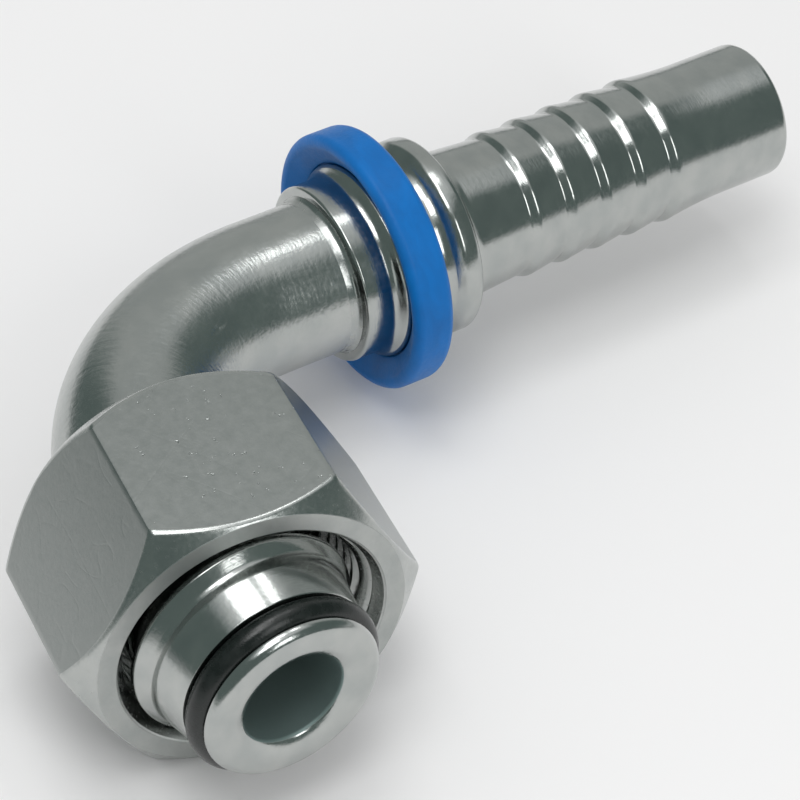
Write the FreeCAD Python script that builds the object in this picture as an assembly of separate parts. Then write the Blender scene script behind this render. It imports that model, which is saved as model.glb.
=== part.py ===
import FreeCAD, Part
import math
import os

# A 90 degree swept hose end: a bent steel tube with a cone head and a loose hexagon nut at one end and a barbed
# nipple for the hose at the other. Millimetres. The origin is the centre of the head's front face, -Y is the
# way the head points, +X the way the nipple points and +Z up, square to the plane of the bend.

# Elbow tube
tube_diameter = 14.0
tube_wall = 2.0
bend_radius = 21.0

# Reach of both ends, measured from the corner where the two axes cross
head_reach = 41.75
nipple_reach = 74.4

# Cone head, measured back from its front face
head_bore_diameter = 8.9
head_countersink_diameter = 11.0
head_countersink_depth = 0.45
lip_diameter = 15.8
lip_round = 0.9
lip_width = 1.0
groove_width = 2.4
cone_front_diameter = 16.74
cone_half_angle = 12.0
cone_length = 3.0
cone_land_length = 0.9
collar_face_length = 1.0
collar_diameter = 19.9
collar_land = 0.6
shank_diameter = 17.0
head_length = 15.5
head_edge = 0.3
head_socket_depth = 6.0

# O-ring of the head
o_ring_section = 2.3
o_ring_proud = 0.3
o_ring_clearance = 0.03

# Swivel nut, measured back from its own front face
nut_across_flats = 27.0
nut_length = 17.2
nut_front_face_diameter = 26.5
nut_rear_face_diameter = 26.7
nut_front_chamfer_angle = 40.0
nut_rear_chamfer_angle = 48.0
thread_diameter = 22.0
thread_pitch = 1.5
thread_mouth_diameter = 23.1
thread_mouth_angle = 30.0
thread_turns = 5
relief_diameter = 22.4
relief_width = 1.6
shoulder_front_diameter = 20.5
shoulder_angle = 45.0
nut_bore_diameter = 18.8
nut_bore_chamfer = 0.6

# Where the loose nut lies: pushed back from the cone and tipped to follow the bend
nut_setback = 7.51
nut_offset = 0.42
nut_tilt = 7.25

# Hose nipple, measured from the corner along its axis
nipple_start = 27.25
nipple_mouth_round = 0.3
nipple_socket_depth = 4.25
neck_diameter = 16.4
lip_ramp_place = 29.72
lip_ramp_fillet = 1.1
lip_ramp_crest = 0.6
lip_ramp_angle = 55.0
stop_lip_diameter = 18.1
stop_lip_place = 31.5
seat_diameter = 17.6
seat_length = 2.8
seat_chamfer_length = 0.6
groove_diameter = 16.3
flange_ramp_place = 35.3
flange_ramp_fillet = 1.8
flange_ramp_crest = 0.7
flange_ramp_angle = 40.0
flange_diameter = 18.3
flange_end = 38.9
flange_rear_round = 0.6
root_fillet = 1.5
root_diameter = 14.0
barb_count = 5
first_barb_place = 46.1
barb_pitch = 3.8
barb_diameter = 13.86
barb_height = 0.43
barb_rise_length = 0.7
land_diameter = 12.86
nipple_end_round = 0.6
nipple_bore_diameter = 9.5
nipple_bore_chamfer = 0.4

# Blue plastic ring on the nipple
stop_ring_diameter = 24.0
stop_ring_width = 3.95
stop_ring_edge = 0.9
stop_ring_face_diameter = 22.0
stop_ring_dish_diameter = 19.0
stop_ring_dish_depth = 0.95
stop_ring_recess_diameter = 18.2
stop_ring_recess_place = 1.2
stop_ring_recess_depth = 1.5
stop_ring_clearance = 0.05

# Brazed joints
socket_clearance = 0.04
head_braze_length = 0.9
head_braze_height = 0.75
nipple_braze_length = 0.95
nipple_braze_height = 0.42

# How far a cutting tool reaches past the face that it cuts
cutter_reach = 1.0

tube_radius = tube_diameter / 2
socket_radius = tube_radius + socket_clearance
corner = FreeCAD.Vector(0, head_reach, 0)
along_head = FreeCAD.Placement(FreeCAD.Vector(0, 0, 0), FreeCAD.Rotation(FreeCAD.Vector(0, 0, 1), 90))
along_nipple = FreeCAD.Placement(corner, FreeCAD.Rotation())
along_nut = FreeCAD.Placement(
    FreeCAD.Vector(nut_offset, nut_setback, 0),
    FreeCAD.Rotation(FreeCAD.Vector(0, 0, 1), 90 - nut_tilt),
)


def point(place, radius):
    """A point of a turned outline: the place along the axis and the distance from it."""
    return FreeCAD.Vector(place, 0, radius)


def turned(start, steps):
    """Turn a closed outline about the local X axis. A step is a point, or a middle and an end point of an arc."""
    edges = []
    last = point(*start)
    for step in [*steps, start]:
        if isinstance(step[0], tuple):
            end = point(*step[1])
            edges.append(Part.Arc(last, point(*step[0]), end).toShape())
        else:
            end = point(*step)
            edges.append(Part.LineSegment(last, end).toShape())
        last = end
    face = Part.Face(Part.Wire(edges))
    return face.revolve(FreeCAD.Vector(0, 0, 0), FreeCAD.Vector(1, 0, 0), 360)


def quarter(start, end, centre):
    """An arc step from start to end whose middle lies on the circle round the centre."""
    radius = math.dist(start, centre)
    middle = [(a + b) / 2 - c for a, b, c in zip(start, end, centre)]
    reach = radius / math.hypot(*middle)
    return (centre[0] + middle[0] * reach, centre[1] + middle[1] * reach), end


def ramp(start, top, fillet, crest, angle):
    """Steps that rise from start to the radius top: a hollow fillet, a slope at an angle and a rounded crest."""
    slope = math.radians(angle)
    across = 1 - math.cos(slope)
    foot = (start[0] + fillet * math.sin(slope), start[1] + fillet * across)
    brow_radius = top - crest * across
    brow = (foot[0] + (brow_radius - foot[1]) / math.tan(slope), brow_radius)
    crown = (brow[0] + crest * math.sin(slope), top)
    return [
        quarter(start, foot, (start[0], start[1] + fillet)),
        brow,
        quarter(brow, crown, (crown[0], top - crest)),
    ]


def placed(shape, placement):
    """The shape moved from its own axis to its place on the part."""
    moved = shape.copy()
    moved.Placement = placement
    return moved


def elbow_tube():
    """Bent tube from the bottom of the head's socket to the bottom of the nipple's socket."""
    head_end = FreeCAD.Vector(0, head_length - head_socket_depth, 0)
    bend_start = FreeCAD.Vector(0, head_reach - bend_radius, 0)
    bend_end = FreeCAD.Vector(bend_radius, head_reach, 0)
    nipple_end = FreeCAD.Vector(nipple_start + nipple_socket_depth, head_reach, 0)
    slant = bend_radius * (1 - math.sqrt(0.5))
    bend_middle = FreeCAD.Vector(slant, head_reach - slant, 0)
    path = Part.Wire([
        Part.LineSegment(head_end, bend_start).toShape(),
        Part.Arc(bend_start, bend_middle, bend_end).toShape(),
        Part.LineSegment(bend_end, nipple_end).toShape(),
    ])
    solids = []
    for radius in (tube_radius, tube_radius - tube_wall):
        circle = Part.Circle(head_end, FreeCAD.Vector(0, 1, 0), radius).toShape()
        solids.append(path.makePipeShell([Part.Wire(circle)], True, False))
    return solids[0].cut(solids[1])


def cone_head():
    """Cone with its front lip, O-ring groove, collar, countersunk bore and the socket for the tube."""
    bore = head_bore_diameter / 2
    lip = lip_diameter / 2
    groove_end = lip_width + groove_width
    groove = o_ring_centre_radius() - o_ring_section / 2 - o_ring_clearance
    cone_end = groove_end + cone_length
    cone_front = cone_front_diameter / 2
    cone_rear = cone_front + cone_length * math.tan(math.radians(cone_half_angle))
    land_end = cone_end + cone_land_length
    collar_start = land_end + collar_face_length
    collar = collar_diameter / 2
    shank = shank_diameter / 2
    shank_start = collar_start + collar_land + collar - shank
    socket_end = head_length - head_socket_depth
    outline = [
        (0, lip - lip_round),
        quarter((0, lip - lip_round), (lip_round, lip), (lip_round, lip - lip_round)),
        (lip_width, lip),
        (lip_width, groove),
        (groove_end, groove),
        (groove_end, cone_front),
        (cone_end, cone_rear),
        (land_end, cone_rear),
        (collar_start, collar),
        (collar_start + collar_land, collar),
        (shank_start, shank),
        (head_length - head_edge, shank),
        (head_length, shank - head_edge),
        (head_length, socket_radius),
        (socket_end, socket_radius),
        (socket_end, bore),
        (head_countersink_depth, bore),
    ]
    return placed(turned((0, head_countersink_diameter / 2), outline), along_head)


def o_ring_centre_radius():
    """Radius of the O-ring's middle line: its crown stands proud of the cone's surface beside the groove."""
    return cone_front_diameter / 2 + o_ring_proud - o_ring_section / 2


def cone_o_ring():
    """O-ring in the middle of the head's groove."""
    ring = Part.makeTorus(
        o_ring_centre_radius(),
        o_ring_section / 2,
        FreeCAD.Vector(lip_width + groove_width / 2, 0, 0),
        FreeCAD.Vector(1, 0, 0),
    )
    return placed(ring, along_head)


def swivel_nut():
    """Hexagon nut with an internal thread as rings of thread form, a relief and the shoulder for the collar."""
    corner_radius = nut_across_flats / 2 / math.cos(math.pi / 6)
    corners = []
    for turn in range(7):
        angle = math.radians(60 * turn + 30)
        corners.append(FreeCAD.Vector(0, corner_radius * math.sin(angle), corner_radius * math.cos(angle)))
    hexagon = Part.Face(Part.makePolygon(corners)).extrude(FreeCAD.Vector(nut_length, 0, 0))

    front_slope = math.tan(math.radians(nut_front_chamfer_angle))
    rear_slope = math.tan(math.radians(nut_rear_chamfer_angle))
    front = nut_front_face_diameter / 2
    rear = nut_rear_face_diameter / 2
    beyond = corner_radius + cutter_reach
    envelope = turned((0, 0), [
        (0, front),
        ((beyond - front) * front_slope, beyond),
        (nut_length - (beyond - rear) * rear_slope, beyond),
        (nut_length, rear),
        (nut_length, 0),
    ])

    major = thread_diameter / 2
    thread_depth = 0.625 * thread_pitch * math.cos(math.pi / 6)
    minor = major - thread_depth
    mouth = thread_mouth_diameter / 2
    thread_start = (mouth - minor) / math.tan(math.radians(thread_mouth_angle))
    flank = thread_depth * math.tan(math.pi / 6)
    root = thread_pitch / 8
    crest = thread_pitch / 4
    relief = relief_diameter / 2
    bore = nut_bore_diameter / 2
    outline = [(-cutter_reach, mouth), (0, mouth), (thread_start, minor)]
    for turn in range(thread_turns):
        groove = thread_start + crest + turn * thread_pitch
        outline += [
            (groove, minor),
            (groove + flank, major),
            (groove + flank + root, major),
            (groove + 2 * flank + root, minor),
        ]
    relief_start = thread_start + crest + thread_turns * thread_pitch
    shoulder = shoulder_front_diameter / 2
    relief_end = relief_start + relief_width
    shoulder_end = relief_end + (shoulder - bore) / math.tan(math.radians(shoulder_angle))
    outline += [
        (relief_start, minor),
        (relief_start, relief),
        (relief_end, relief),
        (relief_end, shoulder),
        (shoulder_end, bore),
        (nut_length - nut_bore_chamfer, bore),
        (nut_length, bore + nut_bore_chamfer),
        (nut_length + cutter_reach, bore + nut_bore_chamfer),
        (nut_length + cutter_reach, 0),
    ]
    hole = turned((-cutter_reach, 0), outline)
    return placed(hexagon.common(envelope).cut(hole), along_nut)


def hose_nipple():
    """Barbed nipple with its socket, neck, stop lip, seat of the blue ring, shallow groove and flange."""
    bore = nipple_bore_diameter / 2
    neck = neck_diameter / 2
    lip = stop_lip_diameter / 2
    seat = seat_diameter / 2
    seat_end = stop_lip_place + seat_length
    groove = groove_diameter / 2
    flange = flange_diameter / 2
    root = root_diameter / 2
    barb = barb_diameter / 2
    barb_root = barb - barb_height
    land = land_diameter / 2
    socket_end = nipple_start + nipple_socket_depth
    outline = [
        (nipple_start, neck - nipple_mouth_round),
        quarter((nipple_start, neck - nipple_mouth_round), (nipple_start + nipple_mouth_round, neck),
                (nipple_start + nipple_mouth_round, neck - nipple_mouth_round)),
        (lip_ramp_place, neck),
        *ramp((lip_ramp_place, neck), lip, lip_ramp_fillet, lip_ramp_crest, lip_ramp_angle),
        (stop_lip_place, lip),
        (stop_lip_place, seat),
        (seat_end, seat),
        (seat_end + seat_chamfer_length, groove),
        (flange_ramp_place, groove),
        *ramp((flange_ramp_place, groove), flange, flange_ramp_fillet, flange_ramp_crest, flange_ramp_angle),
        (flange_end - flange_rear_round, flange),
        quarter((flange_end - flange_rear_round, flange), (flange_end, flange - flange_rear_round),
                (flange_end - flange_rear_round, flange - flange_rear_round)),
        (flange_end, root + root_fillet),
        quarter((flange_end, root + root_fillet), (flange_end + root_fillet, root),
                (flange_end + root_fillet, root + root_fillet)),
    ]
    for turn in range(barb_count):
        rise = first_barb_place + turn * barb_pitch
        outline += [(rise - barb_rise_length / 2, barb_root), (rise + barb_rise_length / 2, barb)]
    outline += [
        (first_barb_place + barb_count * barb_pitch, land),
        (nipple_reach - nipple_end_round, land),
        quarter((nipple_reach - nipple_end_round, land), (nipple_reach, land - nipple_end_round),
                (nipple_reach - nipple_end_round, land - nipple_end_round)),
        (nipple_reach, bore + nipple_bore_chamfer),
        (nipple_reach - nipple_bore_chamfer, bore),
        (socket_end, bore),
        (socket_end, socket_radius),
    ]
    return placed(turned((nipple_start, socket_radius), outline), along_nipple)


def stop_ring():
    """Plastic ring with a dished front, whose recess takes the stop lip and whose bore rides on the seat behind it."""
    recess_end = stop_lip_place + stop_ring_clearance
    front = recess_end - stop_ring_recess_depth
    rear = front + stop_ring_width
    outer = stop_ring_diameter / 2
    recess = stop_ring_recess_diameter / 2 + stop_ring_clearance
    bore = seat_diameter / 2 + stop_ring_clearance
    outline = [
        (front, outer - stop_ring_edge),
        quarter((front, outer - stop_ring_edge), (front + stop_ring_edge, outer),
                (front + stop_ring_edge, outer - stop_ring_edge)),
        (rear - stop_ring_edge, outer),
        quarter((rear - stop_ring_edge, outer), (rear, outer - stop_ring_edge),
                (rear - stop_ring_edge, outer - stop_ring_edge)),
        (rear, bore),
        (recess_end, bore),
        (recess_end, recess),
        (front + stop_ring_recess_place, recess),
        (front + stop_ring_dish_depth, stop_ring_dish_diameter / 2),
    ]
    return placed(turned((front, stop_ring_face_diameter / 2), outline), along_nipple)


def braze(face, reach, height):
    """Fillet of braze on the tube against the end face of a socket. reach runs out of the socket along the axis."""
    return turned((face, tube_radius), [(face, tube_radius + height), (face + reach, tube_radius)])


def head_braze():
    """Braze between the tube and the rear end of the head."""
    return placed(braze(head_length, head_braze_length, head_braze_height), along_head)


def nipple_braze():
    """Braze between the tube and the mouth of the nipple's socket."""
    return placed(braze(nipple_start, -nipple_braze_length, nipple_braze_height), along_nipple)


pieces = {
    "elbow_tube": elbow_tube,
    "cone_head": cone_head,
    "head_braze": head_braze,
    "cone_o_ring": cone_o_ring,
    "swivel_nut": swivel_nut,
    "hose_nipple": hose_nipple,
    "nipple_braze": nipple_braze,
    "stop_ring": stop_ring,
}

os.makedirs("parts", exist_ok=True)
for name, build in pieces.items():
    shape = build()
    shape.exportStep(f"parts/{name}.step")
    print(name, "valid" if shape.isValid() else "NOT VALID", f"{shape.Volume:.1f} mm3")
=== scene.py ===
import math
import bmesh
import bpy
from mathutils import Matrix, Vector


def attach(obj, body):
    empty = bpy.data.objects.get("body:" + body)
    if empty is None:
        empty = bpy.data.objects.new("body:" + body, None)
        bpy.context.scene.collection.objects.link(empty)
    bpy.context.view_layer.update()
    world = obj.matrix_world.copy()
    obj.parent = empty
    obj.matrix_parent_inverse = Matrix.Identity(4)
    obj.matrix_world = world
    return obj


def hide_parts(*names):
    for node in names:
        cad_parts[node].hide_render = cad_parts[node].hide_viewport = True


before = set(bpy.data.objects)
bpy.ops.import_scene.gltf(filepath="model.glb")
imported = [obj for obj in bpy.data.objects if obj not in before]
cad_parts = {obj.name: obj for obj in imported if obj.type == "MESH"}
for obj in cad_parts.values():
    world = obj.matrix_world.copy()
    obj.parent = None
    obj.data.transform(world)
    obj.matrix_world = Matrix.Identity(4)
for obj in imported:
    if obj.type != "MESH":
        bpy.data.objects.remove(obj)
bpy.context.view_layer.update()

# ---------------------------------------------------------------------------------------------------------------
# Elbow tube: cold drawn steel tube, 14 mm outside with a 2 mm wall, bent through 90 degrees on a mandrel and then
# brazed into both end pieces. It is zinc plated after brazing, so its skin is satin, with fine rubbed rings where
# the bending die held it and one shallow die mark inside the bend.
mm = 0.001
tube_radius = 7.0
tube_wall = 2.0
tube_bend_radius = 21.0
corner_reach = 41.75
tube_head_end = 9.5
tube_nipple_end = 31.5
tube_columns = 128
bend_steps = 72
weld = 0.001
mark_place = (43.5, 4.5, 5.33)
mark_size = (1.6, 0.35, 0.5)
mark_press = 7.0
tube_relief = 0.015
tube_rough = (0.18, 0.27)
zinc_grey = (0.48, 0.495, 0.48, 1)
zinc_shadow = (0.42, 0.44, 0.43, 1)


class Signal:
    """An output of a material's nodes. Arithmetic adds Math nodes, and node() adds any other node."""

    def __init__(self, tree, made=None, output=0):
        self.tree = tree
        self.made = made
        self.socket = made.outputs[output] if made and made.outputs else None

    def __getitem__(self, output):
        return Signal(self.tree, self.made, output)

    def node(self, kind, settings=None, inputs=None, output=0):
        """A node of a kind, with its settings made first and then its sockets given values or links."""
        made = self.tree.nodes.new(kind)
        for name, value in (settings or {}).items():
            setattr(made, name, value)
        for name, value in (inputs or {}).items():
            if isinstance(value, Signal):
                self.tree.links.new(value.socket, made.inputs[name])
            else:
                made.inputs[name].default_value = value
        return Signal(self.tree, made, output)

    def maths(self, operation, *values):
        return self.node("ShaderNodeMath", {"operation": operation}, dict(enumerate(values)))

    def vector_maths(self, operation, *others):
        return self.node("ShaderNodeVectorMath", {"operation": operation}, dict(enumerate((self, *others))))

    def __add__(self, other):
        return self.maths("ADD", self, other)

    def __sub__(self, other):
        return self.maths("SUBTRACT", self, other)

    def __rsub__(self, other):
        return self.maths("SUBTRACT", other, self)

    def __mul__(self, other):
        return self.maths("MULTIPLY", self, other)

    __radd__ = __add__
    __rmul__ = __mul__

    def stretched(self, along, across):
        """These turned coordinates scaled to repeats per millimetre along and across the axis."""
        return self.vector_maths("MULTIPLY", (along / mm, across / mm, across / mm))

    def noise(self, detail=2.0, roughness=0.5, distortion=0.0):
        """A cloudy pattern about 0.5 on these coordinates."""
        return self.node("ShaderNodeTexNoise", {}, {
            "Vector": self, "Scale": 1.0, "Detail": detail, "Roughness": roughness, "Distortion": distortion,
        })

    def between(self, low, high, start=0.0, end=1.0):
        """This number taken from low..high to start..end, held at both ends."""
        return self.node("ShaderNodeMapRange", {"clamp": True}, {
            "Value": self, "From Min": low, "From Max": high, "To Min": start, "To Max": end,
        })

    def tint(self, first, second):
        """The first colour where this number is 0 and the second where it is 1."""
        return self.node("ShaderNodeMix", {"data_type": "RGBA"}, {0: self, 6: first, 7: second}, 2)


def new_finish(name):
    """An empty material and its nodes."""
    material = bpy.data.materials.new(name)
    material.use_nodes = True
    material.node_tree.nodes.clear()
    return material, Signal(material.node_tree)


def own_axes(nodes, place, turn):
    """Object coordinates seen from a piece's own axes: X along its axis, from its own starting point."""
    return nodes.node("ShaderNodeMapping", {"vector_type": "TEXTURE"}, {
        "Vector": nodes.node("ShaderNodeTexCoord")["Object"],
        "Location": [value * mm for value in place],
        "Rotation": (0, 0, math.radians(turn)),
    })


def plated(nodes, colour, roughness, height, depth, metallic=1.0):
    """Closes a plated metal: its colour and roughness, and a pattern pressed in to a depth in millimetres."""
    bump = nodes.node("ShaderNodeBump", {}, {"Height": height, "Strength": 1.0, "Distance": depth * mm})
    shader = nodes.node("ShaderNodeBsdfPrincipled", {}, {
        "Base Color": colour, "Metallic": metallic, "Roughness": roughness, "Normal": bump,
    })
    nodes.node("ShaderNodeOutputMaterial", {}, {"Surface": shader})


def shown(name, mesh, material, crease=35):
    """The piece's object, smooth between its creases, with flat faces kept flat beside their rounds."""
    data = bpy.data.meshes.new(name)
    mesh.to_mesh(data)
    mesh.free()
    data.shade_smooth()
    data.set_sharp_from_angle(angle=math.radians(crease))
    data.materials.append(material)
    piece = bpy.data.objects.new(name, data)
    bpy.context.scene.collection.objects.link(piece)
    weighted = piece.modifiers.new("flat_faces", "WEIGHTED_NORMAL")
    weighted.keep_sharp = True
    return piece


tube_mesh = bmesh.new()
bend_start = corner_reach - tube_bend_radius
upright = Matrix.Translation((0, tube_head_end * mm, 0)) @ Matrix.Rotation(math.radians(-90), 4, "X")
bmesh.ops.create_circle(tube_mesh, radius=tube_radius * mm, segments=tube_columns, matrix=upright)
rim = tube_mesh.edges[:]
grown = bmesh.ops.extrude_edge_only(tube_mesh, edges=rim)["geom"]
bmesh.ops.translate(
    tube_mesh, vec=(0, (bend_start - tube_head_end) * mm, 0),
    verts=[v for v in grown if isinstance(v, bmesh.types.BMVert)],
)
rim = [e for e in grown if isinstance(e, bmesh.types.BMEdge)]
turn = bmesh.ops.spin(
    tube_mesh, geom=rim, cent=(tube_bend_radius * mm, bend_start * mm, 0), axis=(0, 0, -1),
    angle=math.radians(90), steps=bend_steps,
)["geom_last"]
rim = [e for e in turn if isinstance(e, bmesh.types.BMEdge)]
grown = bmesh.ops.extrude_edge_only(tube_mesh, edges=rim)["geom"]
bmesh.ops.translate(
    tube_mesh, vec=((tube_nipple_end - tube_bend_radius) * mm, 0, 0),
    verts=[v for v in grown if isinstance(v, bmesh.types.BMVert)],
)
bmesh.ops.remove_doubles(tube_mesh, verts=tube_mesh.verts, dist=weld * mm)
bmesh.ops.recalc_face_normals(tube_mesh, faces=tube_mesh.faces)
bmesh.ops.solidify(tube_mesh, geom=tube_mesh.faces[:], thickness=tube_wall * mm)
skin = tube_mesh.verts.layers.float_vector.new("skin")
quarter_turn = tube_bend_radius * math.pi / 2
for vert in tube_mesh.verts:
    x, y, z = vert.co / mm
    if y < bend_start:
        unbent = (y, x, z)
    elif x > tube_bend_radius:
        unbent = (bend_start + quarter_turn + x - tube_bend_radius, corner_reach - y, z)
    else:
        swing = math.atan2(y - bend_start, tube_bend_radius - x)
        out = math.hypot(y - bend_start, tube_bend_radius - x)
        unbent = (bend_start + tube_bend_radius * swing, tube_bend_radius - out, z)
    vert[skin] = Vector(unbent) * mm

tube_finish, nodes = new_finish("zinc_plated_tube")
unbent = nodes.node("ShaderNodeAttribute", {"attribute_name": "skin"}, {}, "Vector")
cloud = unbent.stretched(0.25, 0.35).noise(3.0)
grain = unbent.stretched(2.4, 2.4).noise(2.0, 0.6)
rubbed = unbent.stretched(2.6, 0.5).noise(1.0, 0.5)
drawn = unbent.stretched(0.15, 3.0).noise(2.0, 0.5)
from_mark = unbent.vector_maths("SUBTRACT", [value * mm for value in mark_place])
from_mark = from_mark.vector_maths("MULTIPLY", [1 / (value * mm) for value in mark_size])
mark = from_mark.vector_maths("LENGTH")["Value"].between(0.0, 1.0, 1.0, 0.0)
plated(
    nodes,
    cloud.between(0.35, 0.65).tint(zinc_shadow, zinc_grey),
    grain.between(0.3, 0.7, *tube_rough),
    grain * 0.9 + rubbed * 1.0 + drawn * 0.25 - mark * mark_press,
    tube_relief,
)
bent_tube = shown("bent_tube", tube_mesh, tube_finish)
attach(bent_tube, "elbow")
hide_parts("elbow_tube")

# ---------------------------------------------------------------------------------------------------------------
# Cone head: turned from free-cutting steel bar, with the front lip, the O-ring groove, the 24 degree cone and the
# collar that the nut pulls on. The tube is pushed into its rear socket and brazed. Plated bright over the tool's
# fine turning marks.
lip_radius = 7.9
groove_floor = 6.34
groove_start = 1.0
groove_end = 3.4
cone_front = 8.37
cone_back = 9.008
cone_end = 6.4
heel_end = 7.3
collar = 9.95
collar_start = 8.3
collar_end = 8.9
shank = 8.5
shank_start = 10.35
head_end = 15.5
head_bore = 4.45
head_mouth = 5.5
head_mouth_depth = 0.5
head_socket = 7.04
turned_columns = 192
segments_per_mm = 7
fewest_segments = 3
turned_relief = 0.009
turned_rough = (0.13, 0.21)
face_fade = (0.02, 0.05)
# painted shade: the darker teal grey given to the inside of bores
bore_painted_shade = (0.20, 0.27, 0.26, 1)
bore_fade = 0.05
bore_roughness = 0.3
bore_metallic = 0.5
head_dull_and_shaded_within = 4.6


def turned(outline, place, turn):
    """Spins a closed outline of (distance along the axis, radius, round) points, in millimetres, round the piece's
    own axis and takes it to its place."""
    mesh = bmesh.new()
    points = [mesh.verts.new((along * mm, 0, radius * mm)) for along, radius, _ in outline]
    for first, second in zip(points, points[1:] + points[:1]):
        mesh.edges.new((first, second))
    for size in sorted({entry[2] for entry in outline if entry[2]}):
        bmesh.ops.bevel(
            mesh, geom=[v for v, entry in zip(points, outline) if entry[2] == size], offset=size * mm,
            segments=max(fewest_segments, round(size * segments_per_mm)), profile=0.5, affect="VERTICES",
            material=-1,
        )
    bmesh.ops.spin(
        mesh, geom=mesh.verts[:] + mesh.edges[:], cent=(0, 0, 0), axis=(1, 0, 0), angle=math.tau,
        steps=turned_columns, use_merge=True,
    )
    bmesh.ops.recalc_face_normals(mesh, faces=mesh.faces)
    settle(mesh, place, turn)
    return mesh


def settle(mesh, place, turn):
    """Takes a mesh from the piece's own axis to its place on the part."""
    move = Matrix.Translation(Vector(place) * mm) @ Matrix.Rotation(math.radians(turn), 4, "Z")
    bmesh.ops.transform(mesh, matrix=move, verts=mesh.verts)


def turned_finish(name, place, turn, dull_and_shaded_within, rough=turned_rough, faced=0.0):
    """Plated steel straight from the lathe: fine rings and short chatter marks round the axis under a bright plate
    with an uneven grain. Within a radius of the axis it is rougher and less metallic, and its colour is darkened to a
    teal grey, a painted shade for the inside of the bore. A rougher front face gets the number faced on top of its
    roughness."""
    material, nodes = new_finish(name)
    axes = own_axes(nodes, place, turn)
    off_centre = axes.vector_maths("MULTIPLY", (0, 1, 1))
    off_centre = off_centre.vector_maths("LENGTH")["Value"]
    inside = off_centre.between((dull_and_shaded_within - bore_fade) * mm, dull_and_shaded_within * mm, 1.0, 0.0)
    front = axes.node("ShaderNodeSeparateXYZ", {}, {0: axes})["X"]
    front = front.between(*(value * mm for value in face_fade), faced, 0.0)
    cloud = axes.stretched(0.5, 0.35).noise(3.0)
    grain = axes.stretched(2.6, 2.6).noise(2.0, 0.6)
    chatter = axes.stretched(3.2, 0.6).noise(1.0, 0.5)
    rings = axes.stretched(8.0, 0.1).noise(2.0, 0.6)
    plated(
        nodes,
        # painted shade: inside the bore the colour turns to the darker teal grey
        inside.tint(cloud.between(0.35, 0.65).tint(zinc_shadow, zinc_grey), bore_painted_shade),
        grain.between(0.3, 0.7, *rough) + inside * bore_roughness + front,
        grain * 0.8 + chatter * 0.5 + rings * 0.35,
        turned_relief,
        inside.between(0.0, 1.0, 1.0, bore_metallic),
    )
    return material


head_place = (0, 0, 0)
head_turn = 90
head_mesh = turned([
    (0, lip_radius, 0.85), (groove_start, lip_radius, 0.08),
    (groove_start, groove_floor, 0.15), (groove_end, groove_floor, 0.15),
    (groove_end, cone_front, 0.08), (cone_end, cone_back, 0.2), (heel_end, cone_back, 0.35),
    (collar_start, collar, 0.15), (collar_end, collar, 0.15),
    (shank_start, shank, 0.25), (head_end, shank, 0.3),
    (head_end, head_socket, 0), (tube_head_end, head_socket, 0), (tube_head_end, head_bore, 0),
    (head_mouth_depth, head_bore, 0.3), (0, head_mouth, 0.35),
], head_place, head_turn)
head_finish = turned_finish("plated_cone_head", head_place, head_turn, head_dull_and_shaded_within)
turned_head = shown("turned_cone_head", head_mesh, head_finish)
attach(turned_head, "elbow")
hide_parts("cone_head")

# ---------------------------------------------------------------------------------------------------------------
# Brazed joints: a small fillet of brazing alloy drawn round the tube at the mouth of each socket, plated over
# together with the tube, so it has the same grey but a smoother, once molten skin.
nipple_place = (0, corner_reach, 0)
nipple_turn = 0
nipple_mouth = 27.25
head_fillet = (0.9, 0.75)
nipple_fillet = (-0.95, 0.42)
fillet_edge = 0.1
fillet_waist = 0.3
fillet_hollow = 0.4
braze_relief = 0.05
braze_rough = (0.2, 0.32)


def braze(name, node, face, fillet, place, turn):
    """One ring of braze round the tube at a socket's end face. The fillet is its leg, which runs along the axis out
    of the socket, and its rise on the face."""
    leg, rise = fillet
    mesh = turned([
        (face, tube_radius, 0), (face, tube_radius + rise, fillet_edge),
        (face + leg * fillet_waist, tube_radius + rise * fillet_waist, rise * fillet_hollow),
        (face + leg, tube_radius, 0),
    ], place, turn)
    material, nodes = new_finish(name + "_plate")
    axes = own_axes(nodes, place, turn)
    lumps = axes.stretched(0.8, 0.8).noise(2.0)
    plated(
        nodes,
        lumps.between(0.35, 0.65).tint(zinc_shadow, zinc_grey),
        lumps.between(0.3, 0.7, *braze_rough),
        lumps,
        braze_relief,
    )
    ring = shown(name, mesh, material)
    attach(ring, "elbow")
    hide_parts(node)


braze("braze_at_head", "head_braze", head_end, head_fillet, head_place, head_turn)
braze("braze_at_nipple", "nipple_braze", nipple_mouth, nipple_fillet, nipple_place, nipple_turn)

# ---------------------------------------------------------------------------------------------------------------
# O-ring: nitrile rubber cord of 2.3 mm moulded into a ring and stretched into the head's groove, where it stands
# just proud of the cone. Black and a little oily, so it shines.
cord_radius = 1.15
cord_centre = (2.2, 0, 7.52)
cord_columns = 40
rubber_relief = 0.008
rubber_rough = (0.2, 0.36)
rubber_black = (0.006, 0.009, 0.008, 1)
rubber_bloom = (0.014, 0.018, 0.017, 1)

ring_mesh = bmesh.new()
across = Matrix.Translation(Vector(cord_centre) * mm) @ Matrix.Rotation(math.radians(90), 4, "X")
bmesh.ops.create_circle(ring_mesh, radius=cord_radius * mm, segments=cord_columns, matrix=across)
bmesh.ops.spin(
    ring_mesh, geom=ring_mesh.verts[:] + ring_mesh.edges[:], cent=(0, 0, 0), axis=(1, 0, 0), angle=math.tau,
    steps=turned_columns, use_merge=True,
)
bmesh.ops.recalc_face_normals(ring_mesh, faces=ring_mesh.faces)
settle(ring_mesh, head_place, head_turn)

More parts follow.
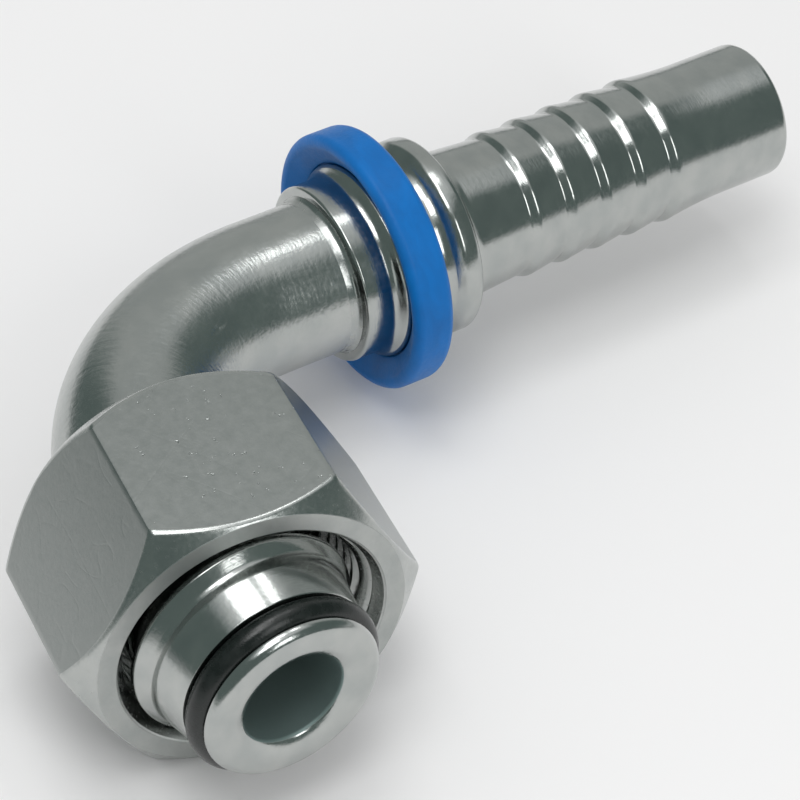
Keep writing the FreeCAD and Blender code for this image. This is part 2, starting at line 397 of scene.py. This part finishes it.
rubber, nodes = new_finish("o_ring_rubber")
axes = own_axes(nodes, head_place, head_turn)
bloom = axes.stretched(0.9, 0.9).noise(4.0, 0.6)
fine = axes.stretched(6.0, 6.0).noise(2.0)
shader = nodes.node("ShaderNodeBsdfPrincipled", {}, {
    "Base Color": bloom.between(0.45, 0.75).tint(rubber_black, rubber_bloom),
    "Roughness": bloom.between(0.3, 0.7, *rubber_rough),
    "Normal": nodes.node("ShaderNodeBump", {}, {"Height": fine, "Strength": 1.0, "Distance": rubber_relief * mm}),
})
nodes.node("ShaderNodeOutputMaterial", {}, {"Surface": shader})
seal = shown("rubber_o_ring", ring_mesh, rubber)
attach(seal, "elbow")
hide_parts("cone_o_ring")

# ---------------------------------------------------------------------------------------------------------------
# Swivel nut: 27 mm hexagon bar steel, chamfered at both ends, bored and cut with a right-hand 22 x 1.5 thread.
# It hangs loose on the tube, so it lies pushed back and a little tipped. The flats keep the rolled skin of the
# bar under the zinc, with handling nicks mostly on the upper one, and the turned faces show the lathe's rings.
nut_place = (0.42, 7.51, 0)
nut_turn = 90 - 7.25
nut_half_flats = 13.5
nut_length = 17.2
nut_corner = nut_half_flats / math.cos(math.radians(30))
nut_corner_round = 0.35
near = 0.01
flat_below = 0.1
flat_lean = 0.05
crown_first = 1
crown_steps = 5
crown_on_flat = 0.3
crown_at_corner = 0.5
crown_swell = 4
crown_most = 0.9
nut_columns = 432
front_face = 13.25
front_slope = math.tan(math.radians(40))
rear_face = 13.35
rear_slope = math.tan(math.radians(48))
rear_chamfer = 0.6
thread_pitch = 1.5
thread_crest = thread_pitch / 4
thread_root = thread_pitch / 8
thread_major = 11.0
thread_depth = 0.625 * thread_pitch * math.cos(math.radians(30))
thread_minor = thread_major - thread_depth
thread_mouth = 11.55
mouth_edge = 0.12
mouth_slope = math.tan(math.radians(30))
thread_turns = 5.25
thread_end = (thread_mouth - thread_minor) / mouth_slope + thread_pitch * thread_turns
thread_columns = 96
thread_spins = 9
thread_cuts = 2
thread_weld = 0.005
relief = 11.2
relief_length = 1.6
relief_end = thread_end + relief_length
shoulder = 10.25
nut_bore = 9.4
nut_crease = 28

nut_mesh = bmesh.new()
outline = [
    (0, thread_mouth + mouth_edge), (0, front_face),
    *((crown_first + step, nut_corner) for step in range(crown_steps + 1)),
    *((nut_length - crown_first - step, nut_corner) for step in reversed(range(crown_steps + 1))),
    (nut_length, rear_face), (nut_length, nut_bore + rear_chamfer), (nut_length - rear_chamfer, nut_bore),
    (relief_end + shoulder - nut_bore, nut_bore), (relief_end, shoulder),
    (relief_end, relief), (thread_end, relief),
]
points = [nut_mesh.verts.new((along * mm, 0, radius * mm)) for along, radius in outline]
for first, second in zip(points, points[1:]):
    nut_mesh.edges.new((first, second))
bmesh.ops.spin(
    nut_mesh, geom=nut_mesh.verts[:] + nut_mesh.edges[:], cent=(0, 0, 0), axis=(1, 0, 0), angle=math.tau,
    steps=nut_columns, use_merge=True,
)


def off_axis(vert):
    """Distance of a vertex from the nut's axis, in millimetres."""
    return math.hypot(vert.co.y, vert.co.z) / mm


def from_flat(vert):
    """How far round a vertex is from the middle of the nearest flat, in radians."""
    sixth = math.radians(60)
    return (math.atan2(vert.co.y, vert.co.z) + sixth / 2) % sixth - sixth / 2


def drawn_in(vert, share):
    """Takes a vertex towards the nut's axis, to a share of its distance from it."""
    vert.co.y *= share
    vert.co.z *= share


hexagon = [v for v in nut_mesh.verts if off_axis(v) > nut_corner - near]
round_centre = (nut_half_flats - nut_corner_round) / math.cos(math.radians(30))
round_start = math.atan((nut_half_flats - nut_corner_round) * math.tan(math.radians(30)) / nut_half_flats)
for vert in hexagon:
    swing = abs(from_flat(vert))
    reach = nut_half_flats / math.cos(swing)
    if swing > round_start:
        off_corner = math.radians(30) - swing
        reach = round_centre * math.cos(off_corner) + math.sqrt(
            nut_corner_round ** 2 - (round_centre * math.sin(off_corner)) ** 2
        )
    at_front = vert.co.x < nut_length / 2 * mm
    along = vert.co.x / mm if at_front else nut_length - vert.co.x / mm
    face, slope = (front_face, front_slope) if at_front else (rear_face, rear_slope)
    rise, run = reach - face, (reach - face) * slope
    chamfer = math.hypot(rise, run)
    crown = crown_on_flat + (crown_at_corner - crown_on_flat) * (swing / math.radians(30)) ** crown_swell
    crown = min(crown, crown_most * chamfer)
    bent = (along - crown_first) / crown_steps
    along = run + crown * (bent ** 2 - (1 - bent) ** 2 * run / chamfer)
    reach -= crown * (1 - bent) ** 2 * rise / chamfer
    drawn_in(vert, reach / nut_corner)
    vert.co.x = (along if at_front else nut_length - along) * mm
for vert in nut_mesh.verts:
    swing = from_flat(vert)
    drawn_in(vert, min(1, nut_half_flats / (off_axis(vert) * math.cos(swing))))

thread = bmesh.new()
flank = thread_depth * math.tan(math.radians(30))
profile = [
    (0, thread_minor), (thread_crest, thread_minor), (thread_crest + flank, thread_major),
    (thread_crest + flank + thread_root, thread_major), (thread_pitch, thread_minor),
]
points = [thread.verts.new(((along - thread_pitch) * mm, 0, radius * mm)) for along, radius in profile]
for first, second in zip(points, points[1:]):
    thread.edges.new((first, second))
bmesh.ops.subdivide_edges(thread, edges=thread.edges[:], cuts=thread_cuts)
bmesh.ops.spin(
    thread, geom=thread.verts[:] + thread.edges[:], cent=(0, 0, 0), axis=(1, 0, 0), angle=math.tau * thread_spins,
    dvec=(thread_pitch / thread_columns * mm, 0, 0), steps=thread_columns * thread_spins,
)
bmesh.ops.remove_doubles(thread, verts=thread.verts, dist=thread_weld * mm)
for vert in thread.verts:
    mouth = thread_mouth - vert.co.x / mm * mouth_slope
    radius = off_axis(vert)
    if radius < mouth:
        drawn_in(vert, mouth / radius)
for place, outward in ((mouth_edge, -1), (thread_end, 1)):
    bmesh.ops.bisect_plane(
        thread, geom=thread.verts[:] + thread.edges[:] + thread.faces[:], dist=weld * mm,
        plane_co=(place * mm, 0, 0), plane_no=(outward, 0, 0), clear_outer=True,
    )
thread_data = bpy.data.meshes.new("thread")
thread.to_mesh(thread_data)
thread.free()
nut_mesh.from_mesh(thread_data)
bpy.data.meshes.remove(thread_data)
for at_mouth in (True, False):
    bmesh.ops.bridge_loops(nut_mesh, edges=[
        e for e in nut_mesh.edges if e.is_boundary and (e.verts[0].co.x < nut_length / 4 * mm) == at_mouth
    ])
bmesh.ops.remove_doubles(nut_mesh, verts=nut_mesh.verts, dist=weld * mm)
bmesh.ops.recalc_face_normals(nut_mesh, faces=nut_mesh.faces)
for face in nut_mesh.faces:
    middle = face.calc_center_median()
    radius = math.hypot(middle.y, middle.z) / mm
    face.material_index = int(radius > nut_half_flats - flat_below and abs(face.normal.x) < flat_lean)
settle(nut_mesh, nut_place, nut_turn)

nut_grey = (0.40, 0.415, 0.405, 1)
nut_shadow = (0.35, 0.37, 0.36, 1)
flat_rough = (0.30, 0.35)
chamfer_rough = (0.18, 0.28)
faced_rough = 0.2
nut_dull_and_shaded_within = 0.1
upper_flat = (12.5, 13.2)
nicks_elsewhere = 0.1
nick_depth = 3.2
nick_shine = 0.2
scratches = ((35, 0.30, 0.4), (-50, 0.22, 0.4), (5, 0.2, 0.3))
flat_finish, nodes = new_finish("plated_nut_flats")
axes = own_axes(nodes, nut_place, nut_turn)
cloud = axes.stretched(1.3, 1.3).noise(4.0, 0.6)
grain = axes.stretched(3.2, 3.2).noise(3.0, 0.7)
rolled = axes.stretched(0.3, 3.0).noise(2.0, 0.5)
ragged = axes.stretched(0.9, 0.9).vector_maths("ADD", axes.stretched(3.0, 3.0).noise(1.0)["Color"])
nicks = nodes.node("ShaderNodeTexVoronoi", {"feature": "F1"}, {"Vector": ragged, "Scale": 1.0})
above = nodes.node("ShaderNodeSeparateXYZ", {}, {0: axes})["Z"]
upper = above.between(*(value * mm for value in upper_flat), nicks_elsewhere, 1.0)
crowded = axes.stretched(0.2, 0.2).noise(1.0).between(0.40, 0.52) * upper
pits = nicks["Distance"].between(0.02, 0.16, 1.0, 0.0) * crowded


def scored(angle, fineness):
    """Long thin scratches that run at an angle to the nut's axis, broken up along their way."""
    leaning = nodes.node("ShaderNodeMapping", {"vector_type": "TEXTURE"}, {
        "Vector": axes, "Rotation": (0, 0, math.radians(angle)),
    })
    waves = leaning.stretched(0.03, fineness).noise(0.0) - 0.5
    broken = leaning.stretched(0.15, 0.4).noise(1.0).between(0.5, 0.58)
    return waves.maths("ABSOLUTE", waves).between(0.0, 0.012, 1.0, 0.0) * broken


pressed = grain * 1.2 + rolled * 0.1 - pits * nick_depth
for angle, fineness, depth in scratches:
    pressed = pressed - scored(angle, fineness) * depth
plated(
    nodes,
    cloud.between(0.25, 0.75).tint(nut_shadow, nut_grey),
    cloud.between(0.3, 0.7, *flat_rough) - pits * nick_shine,
    pressed,
    turned_relief,
)
turning = turned_finish("plated_nut_turning", nut_place, nut_turn, nut_dull_and_shaded_within, chamfer_rough, faced_rough)
hexagon_nut = shown("hexagon_nut", nut_mesh, turning, nut_crease)
hexagon_nut.data.materials.append(flat_finish)
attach(hexagon_nut, "nut")
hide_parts("swivel_nut")

# ---------------------------------------------------------------------------------------------------------------
# Hose nipple: turned from steel bar in one piece, with the socket for the tube, the stop lip and seat of the
# blue ring, a flange that ends against the hose, and five barbs that grip the hose's lining. Bright plate.
nipple_end = 74.4
nipple_bore = 4.75
bore_mouth = 5.15
bore_mouth_depth = 0.4
nipple_dull_and_shaded_within = 5.0
neck = 8.2
lip_ramp_start = 30.293
lip_ramp_end = 30.888
stop_lip = 9.05
seat = 8.8
seat_end = 34.3
groove = 8.15
groove_from = 34.9
flange_ramp_start = 35.955
flange_ramp_end = 37.147
flange = 9.15
flange_end = 38.9
root = 7.0
barb_count = 5
barb_first = 46.1
barb_pitch = 3.8
barb_half = 0.35
barb_top = 6.93
barb_foot = 6.50
land = 6.43
land_start = 65.1
barbs = []
for barb_place in (barb_first + barb_pitch * count for count in range(barb_count)):
    barbs += [(barb_place - barb_half, barb_foot, 0.15), (barb_place + barb_half, barb_top, 0.2)]
nipple_mesh = turned([
    (nipple_mouth, neck, 0.3), (lip_ramp_start, neck, 0.57),
    (lip_ramp_end, stop_lip, 0.31), (tube_nipple_end, stop_lip, 0.05),
    (tube_nipple_end, seat, 0), (seat_end, seat, 0.15),
    (groove_from, groove, 0.15), (flange_ramp_start, groove, 0.65),
    (flange_ramp_end, flange, 0.25), (flange_end, flange, 0.6), (flange_end, root, 1.5),
    *barbs,
    (land_start, land, 3.0), (nipple_end, land, 0.6),
    (nipple_end, bore_mouth, 0.1), (nipple_end - bore_mouth_depth, nipple_bore, 0.1),
    (tube_nipple_end, nipple_bore, 0), (tube_nipple_end, head_socket, 0), (nipple_mouth, head_socket, 0),
], nipple_place, nipple_turn)
nipple_finish = turned_finish("plated_hose_nipple", nipple_place, nipple_turn, nipple_dull_and_shaded_within)
nipple = shown("barbed_nipple", nipple_mesh, nipple_finish)
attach(nipple, "elbow")
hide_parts("hose_nipple")

# ---------------------------------------------------------------------------------------------------------------
# Stop ring: a blue moulded plastic ring pushed over the stop lip, which sits in its recess, so that the ring turns
# freely on the seat behind. Smooth from the mould, slightly waxy, with faint flow streaks.
ring_front = 30.05
ring_rear = 34.0
ring_radius = 12.0
ring_bore = 8.85
recess = 9.15
recess_start = 31.25
recess_floor = 31.55
dish_floor = 31.0
dish_foot = 9.5
dish_rim = 11.0
ring_blue = (0.003, 0.155, 0.50, 1)
ring_deep = (0.005, 0.130, 0.42, 1)
blue_gloss = 0.2
blue_relief = 0.02
blue_rough = (0.36, 0.5)
blue_mesh = turned([
    (ring_front, ring_radius, 0.79), (ring_rear, ring_radius, 0.88),
    (ring_rear, ring_bore, 0.1), (recess_floor, ring_bore, 0), (recess_floor, recess, 0), (recess_start, recess, 0.1),
    (dish_floor, dish_foot, 0.15), (ring_front, dish_rim, 0.2),
], nipple_place, nipple_turn)
blue_plastic, nodes = new_finish("blue_plastic")
axes = own_axes(nodes, nipple_place, nipple_turn)
flow = axes.stretched(0.5, 0.25).noise(3.0, 0.5, 0.8)
fine = axes.stretched(3.0, 3.0).noise(3.0, 0.6)
shader = nodes.node("ShaderNodeBsdfPrincipled", {}, {
    "Base Color": flow.between(0.35, 0.7).tint(ring_blue, ring_deep),
    "Roughness": fine.between(0.3, 0.7, *blue_rough),
    "Specular IOR Level": blue_gloss,
    "Normal": nodes.node("ShaderNodeBump", {}, {
        "Height": fine + flow, "Strength": 1.0, "Distance": blue_relief * mm,
    }),
})
nodes.node("ShaderNodeOutputMaterial", {}, {"Surface": shader})
blue_ring = shown("blue_stop_ring", blue_mesh, blue_plastic)
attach(blue_ring, "ring")
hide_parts("stop_ring")

# ---------------------------------------------------------------------------------------------------------------
# Table: a plain pale matt surface that the nut's lower flat rests on. The bright plate mirrors it as a pale sheet
# that turns grey some 200 mm away, with the dim room beyond. That grey is painted shade, given to the table only
# where a mirror sees it.
floor_level = -13.5
table_half = 1500
table_white = (0.90, 0.90, 0.90, 1)
table_far_painted_shade = (0.36, 0.39, 0.38, 1)
table_middle = (70, 25, floor_level)
table_turns_grey = (150, 230)
table_rough = 0.9
table_mesh = bmesh.new()
bmesh.ops.create_grid(
    table_mesh, x_segments=1, y_segments=1, size=table_half * mm,
    matrix=Matrix.Translation((0, 0, floor_level * mm)),
)
table_finish, nodes = new_finish("pale_table")
off_middle = nodes.node("ShaderNodeTexCoord")["Object"]
off_middle = off_middle.vector_maths("SUBTRACT", [value * mm for value in table_middle])
far = off_middle.vector_maths("LENGTH")["Value"].between(*(value * mm for value in table_turns_grey))
# painted shade: seen from a mirror the table turns grey far off, while the camera sees it pale all over
mirrored = nodes.node("ShaderNodeLightPath")["Is Glossy Ray"]
shader = nodes.node("ShaderNodeBsdfPrincipled", {}, {
    "Base Color": (far * mirrored).tint(table_white, table_far_painted_shade), "Roughness": table_rough,
})
nodes.node("ShaderNodeOutputMaterial", {}, {"Surface": shader})
table_data = bpy.data.meshes.new("table")
table_mesh.to_mesh(table_data)
table_mesh.free()
table_data.materials.append(table_finish)
table = bpy.data.objects.new("table", table_data)
bpy.context.scene.collection.objects.link(table)

# ---------------------------------------------------------------------------------------------------------------
# Light: a dim room with a grey wall, a high window, a low pale backdrop and a pale ceiling, all of which only the
# bright plate mirrors, and a plain level all round for what is matt. Three soft lamps hang overhead, two broad and
# one small, and a tall one stands beyond the head.
room_dim = (0.15, 0.19, 0.18, 1)
wall_grey = (0.49, 0.51, 0.50, 1)
wall_towards = (0.588, 0.809, 0)
wall_spread = (0.74, 0.87)
window_pale = (0.64, 0.66, 0.66, 1)
window_towards = (0.985, 0.174, 0)
window_spread = (0.80, 0.94)
window_height = (0.74, 0.84)
backdrop_pale = (0.62, 0.64, 0.63, 1)
backdrop_towards = (0.990, -0.139, 0)
backdrop_spread = (0.90, 0.97)
backdrop_height = (0.03, 0.12)
ceiling_pale = (0.80, 0.82, 0.82, 1)
ceiling_height = (0.79, 0.93)
plain_level = (0.62, 0.62, 0.62, 1)
world = bpy.data.worlds.new("room")
world.use_nodes = True
world.node_tree.nodes.clear()
bpy.context.scene.world = world
nodes = Signal(world.node_tree)
direction = nodes.node("ShaderNodeTexCoord")["Generated"]
height = nodes.node("ShaderNodeSeparateXYZ", {}, {0: direction})["Z"]
level = direction.vector_maths("MULTIPLY", (1, 1, 0)).vector_maths("NORMALIZE")


def towards(way, spread):
    """1 in a level direction and 0 away from it. The spread is the cosines of the angles where 0 and 1 start."""
    return level.vector_maths("DOT_PRODUCT", way)["Value"].between(*spread)


window = towards(window_towards, window_spread) * height.between(*window_height)
backdrop = towards(backdrop_towards, backdrop_spread) * height.between(*backdrop_height, 1.0, 0.0)
glow = towards(wall_towards, wall_spread).tint(room_dim, wall_grey)
glow = window.tint(glow, window_pale)
glow = backdrop.tint(glow, backdrop_pale)
glow = height.between(*ceiling_height).tint(glow, ceiling_pale)
glow = nodes.node("ShaderNodeLightPath")["Is Diffuse Ray"].tint(glow, plain_level)
back = nodes.node("ShaderNodeBackground", {}, {"Color": glow, "Strength": 1.0})
nodes.node("ShaderNodeOutputWorld", {}, {"Surface": back})

part_middle = Vector((25.01, 24.74, -0.01)) * mm
for name, place, size, facing, power in (
    ("overhead_lamp_near", (-125, -110, 450), (210, 180), (0, 0, 1), 0.43),
    ("overhead_lamp_far", (-45, 75, 450), (190, 150), (0, 0, 1), 0.32),
    ("overhead_lamp_small", (150, 105, 450), (80, 100), (0, 0, 1), 0.09),
    ("side_lamp", (39, -371, 252), (115, 250), (0.087, -0.825, 0.559), 0.30),
):
    data = bpy.data.lights.new(name, "AREA")
    data.shape = "RECTANGLE"
    data.size, data.size_y = (side * mm for side in size)
    data.energy = power
    lamp = bpy.data.objects.new(name, data)
    bpy.context.scene.collection.objects.link(lamp)
    lamp.location = part_middle + Vector(place) * mm
    lamp.rotation_euler = Vector(facing).to_track_quat("Z", "Y").to_euler()

# ---------------------------------------------------------------------------------------------------------------
# Camera: a long lens held still, from the head's side and above, as the photograph was taken, and turned slightly
# about its own axis.
lens = 153.0
heading = -34.188
downward = 44.193
roll = 2.9715
stand_off = 290.48
camera_data = bpy.data.cameras.new("camera")
camera_data.lens = lens
camera_data.sensor_width = 36
camera_data.clip_start = 0.01
camera = bpy.data.objects.new("camera", camera_data)
bpy.context.scene.collection.objects.link(camera)
camera.matrix_world = (
    Matrix.Translation(part_middle)
    @ Matrix.Rotation(math.radians(heading), 4, "Z")
    @ Matrix.Rotation(math.radians(90 - downward), 4, "X")
    @ Matrix.Rotation(math.radians(roll), 4, "Z")
    @ Matrix.Translation((0, 0, stand_off * mm))
)
bpy.context.scene.camera = camera
bpy.context.scene.view_settings.view_transform = "Standard"
